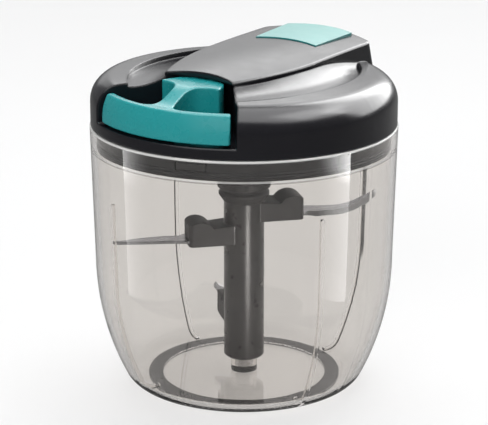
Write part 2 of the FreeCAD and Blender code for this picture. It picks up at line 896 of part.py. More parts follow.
def make_lid_base():
    inner = skirt_radius - skirt_wall
    cover_inside = lid_radius - cover_wall - housing_fit
    profile = [
        (bush_outer, rim - nose_depth),
        (nose_radius, rim - nose_depth),
        (nose_radius, skirt_bottom),
        (skirt_radius, skirt_bottom),
        (skirt_radius, rim + housing_step),
        (cover_inside, rim + housing_step),
        (cover_inside, rim + housing_top),
        (inner, rim + housing_top),
        (inner, housing_floor_top),
        (sleeve_radius, housing_floor_top),
        (sleeve_radius, rim + sleeve_top),
        (bush_outer, rim + sleeve_top),
    ]
    body = turned_points(profile)
    lug_low_z, lug_high_z = rim - lug_low, rim - lug_high
    lug_angles = [lug_angle + 360 * i / lug_count for i in range(lug_count)]
    lugs = [sector(inner, lug_reach, lug_low_z, lug_high_z, angle, lug_half_angle) for angle in lug_angles]
    post_low, post_high = housing_floor_top - over, rim + boss_split - boss_gap
    posts = [cylinder(screw_boss, post_low, post_high, x, y) for x, y in screw_places]
    body = together([body] + lugs + posts)
    body = body.cut(ring(skirt_radius + over, skirt_radius - seal_depth, rim - seal_low, rim - seal_high))
    for x, y in screw_places:
        body = body.cut(cylinder(screw_radius + screw_hole_play, skirt_bottom - over, post_high + over, x, y))
        head_room = rim + screw_head_level
        body = body.cut(cylinder(screw_head + screw_head_play, skirt_bottom - over, head_room, x, y))
    return one_solid(body)


def make_seal_ring():
    inner = skirt_radius - seal_depth
    low, high = rim - seal_low + seal_play, rim - seal_high - seal_play
    middle = (low + high) / 2
    profile = [
        (inner, low),
        (skirt_radius, low),
        (seal_reach, low + seal_bevel),
        (seal_reach, middle - seal_groove_half),
        (skirt_radius, middle),
        (seal_reach, middle + seal_groove_half),
        (seal_reach, high - seal_bevel),
        (skirt_radius, high),
        (inner, high),
    ]
    return turned_points(profile)


def make_cover_screws():
    screws = []
    slot_sizes = [(screw_slot_length, screw_slot_width), (screw_slot_width, screw_slot_length)]
    for x, y in screw_places:
        seat = rim + screw_head_level
        low = seat - screw_head_height
        shank = cylinder(screw_radius, seat, seat + screw_length, x, y)
        head = cylinder(screw_head, low, seat, x, y)
        head = head.makeFillet(screw_head_rounding, [e for e in head.Edges if e.BoundBox.ZMax < low + near])
        screw = head.fuse(shank)
        for size_x, size_y in slot_sizes:
            corner = vec(x - size_x / 2, y - size_y / 2, low)
            screw = screw.cut(Part.makeBox(size_x, size_y, screw_slot_depth, corner))
        screws.append(screw)
    return Part.makeCompound([one_solid(screw) for screw in screws])


# Reel, shaft, spring and their small pieces

def make_cord_reel():
    cup_inner = reel_cup_radius - reel_cup_wall
    web = rim + shaft_shoulder
    body = turned_points([
        (0, web),
        (cup_inner, web),
        (cup_inner, reel_cup_low),
        (reel_cup_radius, reel_cup_low),
        (reel_cup_radius, rim + reel_cup_top),
        (reel_flange_radius, rim + reel_cup_top),
        (reel_flange_radius, drum_low),
        (drum_radius, drum_low),
        (drum_radius, drum_high),
        (0, drum_high),
    ])
    return body.cut(hexagon(shaft_flats + 2 * shaft_flat_play, reel_cup_low, drum_high + over))


def make_reel_flange():
    body = cylinder(reel_flange_radius, drum_high, flange_top)
    body = body.makeFillet(flange_rounding, [e for e in body.Edges if e.BoundBox.ZMin > flange_top - near])
    return body.cut(hexagon(shaft_flats + 2 * shaft_flat_play, drum_high - over, flange_top + over))


def winding_start():
    """Angle at which the cord leaves the drum towards the guide."""
    return -90 + math.degrees(math.acos(cord_centre / -cord_bend_y))


def make_cord_winding():
    """One unbroken tube that winds down the drum as a helix."""
    height = cord_turns * cord_pitch
    path = Part.makeHelix(cord_pitch, height, cord_centre, 0, True)
    path.rotate(vec(0, 0, 0), up, winding_start() + winding_lead + cord_turns * 360)
    path.translate(vec(0, 0, cord_level - height))
    first = path.Edges[0]
    start, along = first.valueAt(first.FirstParameter), first.tangentAt(first.FirstParameter)
    section = Part.Wire(Part.makeCircle(cord_radius, start, along))
    print("least gap between turns of the winding", least_gap(path, cord_turns, 2 * cord_radius))
    return one_solid(path.makePipeShell([section], True, True))


def make_pull_cord():
    """Cord from the drum through the guide and into the handle."""
    start = polar(cord_centre, winding_start(), cord_level)
    bend = vec(0, cord_bend_y, cord_level)
    end = vec(0, knot_y + knot_radius + cord_end_gap, cord_level)
    way_in = (bend - start).normalize()
    way_out = (end - bend).normalize()
    half_turn = way_in.getAngle(way_out) / 2
    trim = cord_bend * math.tan(half_turn)
    before = bend - way_in * trim
    after = bend + way_out * trim
    inward = (way_out - way_in).normalize()
    centre = bend + inward * (cord_bend / math.cos(half_turn))
    middle = centre - inward * cord_bend
    path = Part.Wire([line(start, before), arc(before, middle, after), line(after, end)])
    section = Part.Wire(Part.makeCircle(cord_radius, start, way_in))
    print("cord bend radius", cord_bend)
    return one_solid(path.makePipeShell([section], True, False))


def make_drive_shaft():
    hex_top = rim - nose_depth - hex_end_gap
    flats_top = flange_top + shaft_flats_stand
    pieces = [
        hexagon(hex_end_flats, shaft_end, hex_top),
        cylinder(shaft_radius, hex_top, rim + shaft_shoulder),
        hexagon(shaft_flats, rim + shaft_shoulder, flats_top),
        cylinder(top_pin_radius, flats_top, shaft_top),
    ]
    shaft = together(pieces)
    groove_radius = hex_end_flats / 2 - circlip_groove
    groove = ring(shaft_radius + over, groove_radius, circlip_low, circlip_low + circlip_thickness)
    return one_solid(shaft.cut(groove))


def make_shaft_circlip():
    inner = hex_end_flats / 2 - circlip_groove
    body = ring(circlip_radius, inner, circlip_low, circlip_low + circlip_thickness)
    corner = vec(0, -circlip_opening / 2, circlip_low - over)
    opening = Part.makeBox(circlip_radius + over, circlip_opening, circlip_thickness + 2 * over, corner)
    return one_solid(body.cut(opening))


def make_thrust_washer():
    low = rim + sleeve_top
    return ring(washer_radius, shaft_bore, low, low + washer_thickness)


def make_shaft_bush():
    low = rim - nose_depth + shaft_seal_height + bush_end_gap
    return ring(bush_outer, shaft_bore, low, rim + sleeve_top)


def make_shaft_seal():
    low = rim - nose_depth
    return ring(bush_outer, shaft_radius + seal_ring_gap, low, low + shaft_seal_height)


def make_return_spring():
    """Flat spiral strip made of half circles, each a step larger than the last."""
    def spiral(shift):
        edges = []
        points = []
        for i in range(spring_half_turns):
            side = 1 if i % 2 == 0 else -1
            radius = spring_inner + shift + i * spring_pitch / 2
            centre_x = 0.0 if i % 2 == 0 else spring_pitch / 2
            start = vec(centre_x + side * radius, 0, 0)
            middle = vec(centre_x, side * radius, 0)
            end = vec(centre_x - side * radius, 0, 0)
            edges.append(arc(start, middle, end))
            points = points + [start, end]
        return edges, points[0], points[-1]

    inner_edges, inner_start, inner_end = spiral(0)
    outer_edges, outer_start, outer_end = spiral(spring_strip)
    ends = [line(inner_start, outer_start), line(inner_end, outer_end)]
    low = housing_floor_top
    strip = prism(face(inner_edges + outer_edges + ends), low, low + spring_height)
    gap = least_gap(Part.Wire(inner_edges), spring_half_turns / 2, spring_strip)
    print("least gap between turns of the spring", gap)
    return one_solid(strip)


# Handle

def handle_plate(low):
    plate_x = math.sqrt(plate_round ** 2 - (plate_front_y - pocket_round_y) ** 2)
    right, left = vec(plate_x, plate_front_y, 0), vec(-plate_x, plate_front_y, 0)
    rear = vec(0, pocket_round_y + plate_round, 0)
    return prism(face([line(left, right), arc(right, rear, left)]), low, low + plate_height)


def above_grip(low):
    """Space above the low grip, whose floor sweeps up to the top of the rear plate."""
    grip_top, plate_top = low + grip_height, low + plate_height
    front_y = -lid_radius - over
    run, rise = plate_front_y - over - sweep_start_y, plate_top - grip_top
    sweep = (run ** 2 + rise ** 2) / (2 * rise)
    half_turn = math.asin(run / sweep) / 2
    start = vec(0, sweep_start_y, grip_top)
    middle = start + vec(0, sweep * math.sin(half_turn), sweep * (1 - math.cos(half_turn)))
    end = start + vec(0, run, rise)
    edges = polyline([
        end,
        end + up * over,
        vec(0, front_y, plate_top + over),
        vec(0, front_y, grip_top),
        start,
    ])
    edges.append(arc(start, middle, end))
    space = face(edges).extrude(vec(2 * lid_radius, 0, 0))
    space.translate(vec(-lid_radius, 0, 0))
    return space


def is_outer_edge(edge, low):
    """True for the upright ends and the top edges, but not where the sweep runs into the grip."""
    box = edge.BoundBox
    upright = box.ZLength > grip_height / 2 and box.XLength + box.YLength < near
    if upright:
        return abs(edge.CenterOfMass.x) > plate_round - over
    sweep_start = box.YLength < near and abs(box.YMin - sweep_start_y) < near
    return box.ZMin > low + grip_height - near and not sweep_start


def make_pull_handle():
    """Curved grip bar, narrow neck and round-backed rear plate in one piece."""
    low = rim + pocket_floor + grip_gap
    inner = grip_outer - grip_thickness
    bar = sector(inner, grip_outer, low, low + plate_height, -90, grip_half_angle)
    root_y = -math.sqrt(inner ** 2 - neck_half ** 2)
    neck_length = plate_front_y - root_y + 2 * neck_overlap
    neck = Part.makeBox(
        2 * neck_half, neck_length, plate_height, vec(-neck_half, root_y - neck_overlap, low)
    )
    body = together([bar, handle_plate(low), neck])
    corners = [
        e for e in body.Edges
        if e.BoundBox.ZLength > over
        and abs(abs(e.CenterOfMass.x) - neck_half) < over / 2
        and root_y - over < e.CenterOfMass.y < plate_front_y + over
    ]
    body = body.makeFillet(neck_fillet, corners)
    body = one_solid(body.cut(above_grip(low)))
    body = body.makeFillet(grip_edge, [e for e in body.Edges if is_outer_edge(e, low)])
    body = body.cut(along_y(cord_radius + cord_play, knot_y, pocket_round_y + plate_round + over))
    seat_top = cord_level + knot_radius + cord_play
    body = body.cut(cylinder(knot_seat_radius, low - over, seat_top, 0, knot_y))
    return one_solid(body)


def make_cord_knot():
    return Part.makeSphere(knot_radius, vec(0, knot_y, cord_level))


blades = {name: make_blade(name) for name in blade_heights}
nodes = {
    "bowl": make_bowl(),
    "base_ring": make_base_ring(),
    "pivot_pin": make_pivot_pin(),
    "blade_hub": make_blade_hub(blades),
    "lid_cover": make_lid_cover(),
    "lid_base": make_lid_base(),
    "seal_ring": make_seal_ring(),
    "top_inlay": make_top_inlay(),
    "cord_guide": make_cord_guide(),
    "cover_screws": make_cover_screws(),
    "shaft_bush": make_shaft_bush(),
    "shaft_seal": make_shaft_seal(),
    "thrust_washer": make_thrust_washer(),
    "return_spring": make_return_spring(),
    "cord_reel": make_cord_reel(),
    "reel_flange": make_reel_flange(),
    "cord_winding": make_cord_winding(),
    "drive_shaft": make_drive_shaft(),
    "shaft_circlip": make_shaft_circlip(),
    "pull_handle": make_pull_handle(),
    "cord_knot": make_cord_knot(),
    "pull_cord": make_pull_cord(),
}
nodes.update(blades)

os.makedirs("parts", exist_ok=True)
for name, shape in nodes.items():
    shape.exportStep("parts/" + name + ".step")
    print(name, "solids", len(shape.Solids), "volume", round(shape.Volume, 1), "valid", shape.isValid())
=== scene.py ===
import json
import math

import bpy
import numpy as np
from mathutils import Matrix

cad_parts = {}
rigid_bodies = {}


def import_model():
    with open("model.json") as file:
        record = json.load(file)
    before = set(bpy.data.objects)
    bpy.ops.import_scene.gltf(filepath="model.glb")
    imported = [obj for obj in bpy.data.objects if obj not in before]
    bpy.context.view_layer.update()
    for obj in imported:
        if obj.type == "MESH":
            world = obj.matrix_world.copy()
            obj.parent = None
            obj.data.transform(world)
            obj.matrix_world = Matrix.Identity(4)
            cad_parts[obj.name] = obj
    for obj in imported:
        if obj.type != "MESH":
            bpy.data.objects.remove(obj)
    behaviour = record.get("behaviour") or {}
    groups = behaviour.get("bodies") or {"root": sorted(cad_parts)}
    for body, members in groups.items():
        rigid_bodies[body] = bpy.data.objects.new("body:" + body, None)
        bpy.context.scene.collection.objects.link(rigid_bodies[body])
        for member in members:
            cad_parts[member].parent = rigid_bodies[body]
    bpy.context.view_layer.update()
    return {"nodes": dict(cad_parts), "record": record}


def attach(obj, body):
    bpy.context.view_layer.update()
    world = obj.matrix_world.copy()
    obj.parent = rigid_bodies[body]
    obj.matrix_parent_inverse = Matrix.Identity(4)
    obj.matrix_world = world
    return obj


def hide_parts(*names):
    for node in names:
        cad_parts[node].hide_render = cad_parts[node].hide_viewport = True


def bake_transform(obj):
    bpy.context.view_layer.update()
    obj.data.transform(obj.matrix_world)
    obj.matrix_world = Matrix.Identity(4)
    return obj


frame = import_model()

mm = 0.001
nodes = frame["nodes"]


# Shader nodes

def addNode(tree, kind, **settings):
    node = tree.nodes.new("ShaderNode" + kind)
    for key, value in settings.items():
        setattr(node, key, value)
    return node


def feed(tree, target, value):
    # Joins an input to another node's output, or sets the number or colour that it holds
    if isinstance(value, bpy.types.NodeSocket):
        tree.links.new(value, target)
    else:
        target.default_value = value


def mathOn(tree, operation, *values):
    node = addNode(tree, "Math", operation=operation)
    for target, value in zip(node.inputs, values):
        feed(tree, target, value)
    return node.outputs[0]


def mapped(tree, value, start, end, low=0.0, high=1.0):
    # low where the value is at start, high where it is at end, even between them and steady outside
    span = addNode(tree, "MapRange")
    for key, number in (("From Min", start), ("From Max", end), ("To Min", low), ("To Max", high)):
        span.inputs[key].default_value = number
    tree.links.new(value, span.inputs["Value"])
    return span.outputs["Result"]


def mixOf(tree, kind, factor, first, second, **settings):
    mix = addNode(tree, "Mix", data_type=kind, **settings)
    for key, value in (("Factor", factor), ("A", first), ("B", second)):
        feed(tree, mix.inputs[key], value)
    return mix.outputs["Result"]


def axesOf(tree, vector):
    parts = addNode(tree, "SeparateXYZ")
    tree.links.new(vector, parts.inputs[0])
    return parts.outputs


def placeOn(tree, kind="Object"):
    return addNode(tree, "TexCoord").outputs[kind]


def rayChoice(tree, otherwise, *choices):
    # A value that starts as otherwise and takes each choice's value where its kind of ray asks
    path = addNode(tree, "LightPath")
    current = otherwise
    for kind, value in choices:
        current = mixOf(tree, "FLOAT", path.outputs["Is " + kind + " Ray"], current, value)
    return current


def rgba(tone, share=1.0):
    return tuple(share * part for part in tone) + (1.0,)


# Camera, lamps and world

photoView = {
    "azimuth": 36.0,       # degrees round from the handle's side
    "elevation": 16.65,
    "distance": 0.9,
    "lookAtHeight": 0.0714,
    "lens": 161.8,
}


def besideCamera(forward, right, height):
    # A point so far towards the camera, so far to its right and so high
    turn = math.radians(photoView["azimuth"])
    toCamera = np.array([math.sin(turn), -math.cos(turn), 0.0])
    toRight = np.array([math.cos(turn), math.sin(turn), 0.0])
    return toCamera * forward + toRight * right + np.array([0.0, 0.0, height])


def aimAt(item, target):
    offset = np.array(target) - np.array(item.location)
    flat = math.hypot(offset[0], offset[1])
    item.rotation_euler = (math.atan2(flat, -offset[2]), 0.0, math.atan2(-offset[0], offset[1]))


def makeCamera():
    rise = math.radians(photoView["elevation"])
    reach = photoView["distance"] * math.cos(rise)
    height = photoView["lookAtHeight"] + photoView["distance"] * math.sin(rise)
    camera = bpy.data.objects.new("camera", bpy.data.cameras.new("camera"))
    bpy.context.scene.collection.objects.link(camera)
    camera.data.lens = photoView["lens"]
    camera.data.clip_start = 0.01
    camera.location = besideCamera(reach, 0.0, height)
    aimAt(camera, (0.0, 0.0, photoView["lookAtHeight"]))
    bpy.context.scene.camera = camera


# place is forward, right and height from the camera's side in metres, and target is a point of the scene. lights and
# mirrored say what a lamp shows in, and only names the one piece that it reaches. A fade gives the strengths at two
# sides, the power that steepens it, and the share that its lower part has, up to a step at those shares of its height
studioLamps = {
    "ceilingBox": {"place": (0.15, 0.2, 1.25), "size": (1.8, 1.7), "watts": 36.0, "target": (0.15, 0.2, 0.0),
                   "lights": False, "mirrored": True},
    "windowBox": {"place": (-0.6, 0.86, 0.78), "size": (1.6, 1.15), "watts": 38.0, "target": (0, 0, 0.15),
                  "lights": False, "mirrored": True},
    "rightCeiling": {"place": (0.25, 0.75, 1.1), "size": (0.8, 0.8), "watts": 8.0, "target": (0, 0, 0.12),
                     "lights": False, "mirrored": True},
    "backBox": {"place": (-1.2, 0.25, 1.0), "size": (1.4, 0.8), "watts": 9.0, "target": (0, 0, 0.12),
                "lights": False, "mirrored": True},
    "backWall": {"place": (-1.25, 0.35, 0.47), "size": (2.2, 0.5), "watts": 2.6, "target": (0, 0, 0.15),
                 "lights": False, "mirrored": True},
    "leftPanel": {"place": (0.051, -0.155, 0.05), "size": (0.073, 0.098), "watts": 0.13, "target": (0, 0, 0.05),
                  "lights": False, "mirrored": True, "only": "bowl",
                  "fade": {"sides": (1.0, 0.0), "power": 2.0, "lowerShare": 0.36, "step": (0.56, 0.64)}},
    "rightPanel": {"place": (0.099, 0.157, 0.05), "size": (0.0875, 0.098), "watts": 0.075, "spread": 80.0,
                   "target": (0.0506, -0.0687, 0.097), "lights": False, "mirrored": True, "only": "bowl",
                   "fade": {"sides": (0.0, 1.0), "power": 1.0, "lowerShare": 0.26, "step": (0.56, 0.64)}},
    "columnStrip": {"place": (0.109, 0.042, 0.026), "size": (0.006, 0.048), "watts": 0.12, "target": (0, 0, 0.03),
                    "lights": False, "mirrored": True, "only": "blade_hub"},
    "footGlow": {"place": (0.19, 0.0, 0.004), "size": (0.4, 0.24), "watts": 0.2, "target": (0.11, -0.15, 1.0),
                 "lights": False, "mirrored": True, "only": "pullHandle"},
    "overhead": {"place": (-0.2, 0.0, 1.2), "size": (1.1, 1.0), "watts": 11.0, "target": (0, 0, 0.05),
                 "lights": True, "mirrored": False},
    "rearFill": {"place": (-1.1, 0.0, 1.5), "size": (2.2, 0.9), "watts": 14.5, "target": (-1.0, 0, 0.0),
                 "lights": True, "mirrored": False},
    "frontFill": {"place": (1.0, -0.35, 0.6), "size": (0.7, 0.6), "watts": 7.0, "target": (0, 0, 0.08),
                  "lights": True, "mirrored": False},
}


def fadeAcross(data, fade):
    # A softbox that is strong along one side and fades to the other, and weaker in its lower part
    data.use_nodes = True
    tree = data.node_tree
    place = axesOf(tree, addNode(tree, "NewGeometry").outputs["Parametric"])
    across = mathOn(tree, "POWER", mapped(tree, place["X"], 0.0, 1.0, *fade["sides"]), fade["power"])
    up = mapped(tree, place["Y"], *fade["step"], fade["lowerShare"])
    feed(tree, tree.nodes["Emission"].inputs["Strength"], mathOn(tree, "MULTIPLY", across, up))


def makeLamps():
    for name, values in studioLamps.items():
        data = bpy.data.lights.new(name, "AREA")
        data.shape = "RECTANGLE"
        data.size, data.size_y = values["size"]
        data.energy = values["watts"]
        lamp = bpy.data.objects.new(name, data)
        bpy.context.scene.collection.objects.link(lamp)
        lamp.location = besideCamera(*values["place"])
        aimAt(lamp, values["target"])
        lamp.visible_camera = False
        lamp.visible_transmission = False
        lamp.visible_glossy = values["mirrored"]
        lamp.visible_diffuse = values["lights"]
        if "spread" in values:
            data.spread = math.radians(values["spread"])
        if "fade" in values:
            fadeAcross(data, values["fade"])
        if "only" in values:
            reached = bpy.data.collections.new(name + "Reached")
            reached.objects.link(nodes.get(values["only"]) or bpy.data.objects[values["only"]])
            lamp.light_linking.receiver_collection = reached


skyValues = {"seen": 1.0, "lighting": 0.22, "colour": (0.97, 0.975, 1.0)}


def makeWorld():
    # Pale to the camera and through the bowl, dim where it lights and mirrors
    world = bpy.data.worlds.new("studio")
    bpy.context.scene.world = world
    world.use_nodes = True
    tree = world.node_tree
    background = tree.nodes["Background"]
    background.inputs["Color"].default_value = rgba(skyValues["colour"])
    strength = rayChoice(tree, skyValues["lighting"], ("Camera", skyValues["seen"]),
                         ("Transmission", skyValues["seen"]))
    feed(tree, background.inputs["Strength"], strength)


# Parts of materials

def startMaterial(name):
    material = bpy.data.materials.new(name)
    material.use_nodes = True
    tree = material.node_tree
    return material, tree, tree.nodes["Principled BSDF"]


def noiseOn(tree, scale, detail, stretch=(1.0, 1.0, 1.0), kind="Object"):
    # Noise in the part's own place or map, with features about 1 / scale across
    mapping = addNode(tree, "Mapping")
    mapping.inputs["Scale"].default_value = stretch
    noise = addNode(tree, "TexNoise")
    noise.inputs["Scale"].default_value = scale
    noise.inputs["Detail"].default_value = detail
    tree.links.new(placeOn(tree, kind), mapping.inputs["Vector"])
    tree.links.new(mapping.outputs["Vector"], noise.inputs["Vector"])
    return noise.outputs["Fac"]


noiseSpan = (0.3, 0.7)     # noise hardly leaves these, so tones and roughness run between them


def toneBetween(tree, factor, low, high):
    ramp = addNode(tree, "ValToRGB")
    for element, position, tone in zip(ramp.color_ramp.elements, noiseSpan, (low, high)):
        element.position = position
        element.color = tone
    tree.links.new(factor, ramp.inputs["Fac"])
    return ramp.outputs["Color"]


def valueBetween(tree, factor, low, high):
    return mapped(tree, factor, *noiseSpan, low, high)


def softEdges(tree, radius, blend=None):
    # Normals that turn smoothly over each sharp edge, as on a moulded edge of that radius. With a blend there are two
    # radii, and the handle's side goes over to the rest between those two places along Y
    edge = addNode(tree, "Bevel", samples=6)
    if blend:
        radius = mapped(tree, axesOf(tree, placeOn(tree))["Y"], *blend, *radius)
    feed(tree, edge.inputs["Radius"], radius)
    return edge.outputs["Normal"]


def bumpFrom(tree, height, distance, under=None):
    bump = addNode(tree, "Bump")
    bump.inputs["Distance"].default_value = distance
    bump.inputs["Strength"].default_value = 1.0
    tree.links.new(height, bump.inputs["Height"])
    if under is not None:
        tree.links.new(under, bump.inputs["Normal"])
    return bump.outputs["Normal"]


def mixShaders(tree, factor, first, second):
    mix = addNode(tree, "MixShader")
    for target, value in zip(mix.inputs, (factor, first, second)):
        tree.links.new(value, target)
    return mix.outputs[0]


# Floor

floorValues = {
    "half": 4.0,
    "tones": ((0.35, 0.35, 0.35), (0.365, 0.365, 0.365)),
    "clouds": 3.0,         # the scale of the noise between the two tones
    "glow": 0.48,          # of its own, which keeps it as pale far from the lamps as near them
    "roughness": 0.8,
    "specular": 0.1,
    "mirrored": 0.2,       # the share of its brightness that shows in gloss
    "throughBowl": 0.75,
}


def makeFloor():
    f = floorValues
    material, tree, shader = startMaterial("floor")
    low, high = [rgba(tone) for tone in f["tones"]]
    shares = rayChoice(tree, 1.0, ("Glossy", f["mirrored"]), ("Transmission", f["throughBowl"]))
    tone = toneBetween(tree, noiseOn(tree, f["clouds"], 4.0), low, high)
    feed(tree, shader.inputs["Base Color"], mixOf(tree, "RGBA", 1.0, tone, shares, blend_type="MULTIPLY"))
    glow = rayChoice(tree, f["glow"], ("Glossy", f["glow"] * f["mirrored"]),
                     ("Transmission", f["glow"] * f["throughBowl"]))
    shader.inputs["Emission Color"].default_value = (1.0, 1.0, 1.0, 1.0)
    feed(tree, shader.inputs["Emission Strength"], glow)
    shader.inputs["Roughness"].default_value = f["roughness"]
    shader.inputs["Specular IOR Level"].default_value = f["specular"]
    half = f["half"]
    corners = [(-half, -half, 0), (half, -half, 0), (half, half, 0), (-half, half, 0)]
    mesh = bpy.data.meshes.new("floor")
    mesh.from_pydata(corners, [], [[0, 1, 2, 3]])
    mesh.materials.append(material)
    floor = bpy.data.objects.new("floor", mesh)
    bpy.context.scene.collection.objects.link(floor)


# Moulded plastics and rubber: two tones that drift, a roughness that drifts, a fine moulded grain and soft edges

mouldedFinishes = {
    "lid_plastic": {
        "tones": ((0.0058, 0.0056, 0.0078), (0.0074, 0.0072, 0.0098)), "drift": 60.0, "roughness": (0.2, 0.25),
        "grain": 5200.0, "grainDepth": 0.003 * mm, "edge": (1.5 * mm, 0.6 * mm), "edgeBlend": (-28 * mm, -20 * mm),
        "specular": 0.5},
    "housing_plastic": {
        "tones": ((0.009, 0.0085, 0.009), (0.013, 0.0125, 0.013)), "drift": 70.0, "roughness": (0.36, 0.46),
        "grain": 2400.0, "grainDepth": 0.002 * mm, "edge": 0.4 * mm, "specular": 0.5},
    "column_plastic": {
        "tones": ((0.02, 0.018, 0.018), (0.03, 0.027, 0.026)), "drift": 90.0, "roughness": (0.26, 0.36),
        "grain": 3800.0, "grainDepth": 0.0012 * mm, "edge": 0.6 * mm, "specular": 0.5,
        "matt": {"beyond": 8.4 * mm, "over": 0.3 * mm, "added": 0.4}},      # the arms, from that far off the axis
    "teal_plastic": {
        "tones": ((0.012, 0.26, 0.27), (0.013, 0.268, 0.279)), "drift": 80.0, "roughness": (0.24, 0.32),
        "grain": 2600.0, "grainDepth": 0.0004 * mm, "edge": None, "specular": 0.5},
    "white_plastic": {
        "tones": ((0.72, 0.71, 0.67), (0.8, 0.79, 0.76)), "drift": 110.0, "roughness": (0.35, 0.5),
        "grain": 3000.0, "grainDepth": 0.006 * mm, "edge": 0.3 * mm, "specular": 0.5},
    "soft_ring": {
        "tones": ((0.018, 0.018, 0.019), (0.03, 0.03, 0.031)), "drift": 140.0, "roughness": (0.6, 0.8),
        "grain": 2400.0, "grainDepth": 0.015 * mm, "edge": 0.4 * mm, "specular": 0.35},
}
finerRoughness = 2.5     # the roughness drifts over spots that are smaller than the tone's by this


def mattBeyond(tree, roughness, matt):
    # Adds to a roughness where the part is further than a distance from the object's upright axis
    flat = addNode(tree, "VectorMath", operation="MULTIPLY")
    flat.inputs[1].default_value = (1.0, 1.0, 0.0)
    reach = addNode(tree, "VectorMath", operation="LENGTH")
    tree.links.new(placeOn(tree), flat.inputs[0])
    tree.links.new(flat.outputs[0], reach.inputs[0])
    added = mapped(tree, reach.outputs["Value"], matt["beyond"], matt["beyond"] + matt["over"], 0.0, matt["added"])
    return mathOn(tree, "ADD", added, roughness)


def mouldedMaterial(name):
    finish = mouldedFinishes[name]
    material, tree, shader = startMaterial(name)
    low, high = [rgba(tone) for tone in finish["tones"]]
    feed(tree, shader.inputs["Base Color"], toneBetween(tree, noiseOn(tree, finish["drift"], 4.0), low, high))
    spots = noiseOn(tree, finish["drift"] * finerRoughness, 5.0)
    roughness = valueBetween(tree, spots, *finish["roughness"])
    if "matt" in finish:
        roughness = mattBeyond(tree, roughness, finish["matt"])
    feed(tree, shader.inputs["Roughness"], roughness)
    edges = softEdges(tree, finish["edge"], finish.get("edgeBlend")) if finish["edge"] else None
    grain = bumpFrom(tree, noiseOn(tree, finish["grain"], 2.0), finish["grainDepth"], edges)
    feed(tree, shader.inputs["Normal"], grain)
    shader.inputs["Specular IOR Level"].default_value = finish["specular"]
    return material


mintPaintedLightFinish = {
    # The side tone is the plastic's own; the paler top tone is painted light from above, mixed in by how far the
    # surface faces up
    "top": (0.12, 0.33, 0.31), "side": (0.02, 0.26, 0.26), "paintedLightFacing": (0.55, 0.9),
    "drift": 90.0, "driftTone": (0.94, 0.95, 0.95), "roughness": (0.28, 0.34), "roughnessDrift": 240.0,
    "grain": 2600.0, "grainDepth": 0.0004 * mm, "edge": 0.25 * mm,
}


def mintPaintedLightMaterial():
    # Painted light: paler where it faces up, as if lit from above, and the plastic's own deeper tone down its sides
    m = mintPaintedLightFinish
    material, tree, shader = startMaterial("mint_plastic")
    up = axesOf(tree, addNode(tree, "NewGeometry").outputs["Normal"])["Z"]
    tone = mixOf(tree, "RGBA", mapped(tree, up, *m["paintedLightFacing"]), rgba(m["side"]), rgba(m["top"]))
    drift = toneBetween(tree, noiseOn(tree, m["drift"], 4.0), rgba(m["driftTone"]), (1.0, 1.0, 1.0, 1.0))
    feed(tree, shader.inputs["Base Color"], mixOf(tree, "RGBA", 1.0, tone, drift, blend_type="MULTIPLY"))
    feed(tree, shader.inputs["Roughness"],
         valueBetween(tree, noiseOn(tree, m["roughnessDrift"], 4.0), *m["roughness"]))
    grain = bumpFrom(tree, noiseOn(tree, m["grain"], 2.0), m["grainDepth"], softEdges(tree, m["edge"]))
    feed(tree, shader.inputs["Normal"], grain)
    return material


clearFinish = {
    "tint": (0.9, 0.877, 0.852),
    "lampTint": (0.94, 0.932, 0.925),
    "roughness": (0.01, 0.04), "smears": 70.0, "smearStretch": (1.0, 1.0, 0.35),
    "ior": 1.47,
    "waviness": 0.02 * mm, "waves": 34.0, "waveStretch": (1.0, 1.0, 0.3),
    # Painted highlights at the cut rim and at the lid skirt's foot, and painted shade just under the foot: bands of
    # flat pale and dark shader by height
    "rimHighlight": (109.15 * mm, 110.2 * mm, 0.75),       # from, to and how strong
    "skirtFootHighlight": (101.2 * mm, 101.7 * mm, 0.45),
    "skirtFootShadow": (100.6 * mm, 101.1 * mm, 0.35),
    "highlightTone": (0.78, 0.78, 0.76), "highlightRoughness": 0.25,
    "shadowTone": (0.05, 0.045, 0.04), "shadowRoughness": 0.3,
}


def bandMask(tree, height, low, high, strength):
    # Strength between two heights, fading out over a quarter of the band at each side
    fade = (high - low) / 4
    rise = mapped(tree, height, low - fade, low + fade, 0.0, strength)
    fall = mapped(tree, height, high + fade, high - fade)
    return mathOn(tree, "MULTIPLY", rise, fall)


def plainShader(tree, tone, roughness):
    shader = addNode(tree, "BsdfPrincipled")
    shader.inputs["Base Color"].default_value = rgba(tone)
    shader.inputs["Roughness"].default_value = roughness
    return shader.outputs[0]


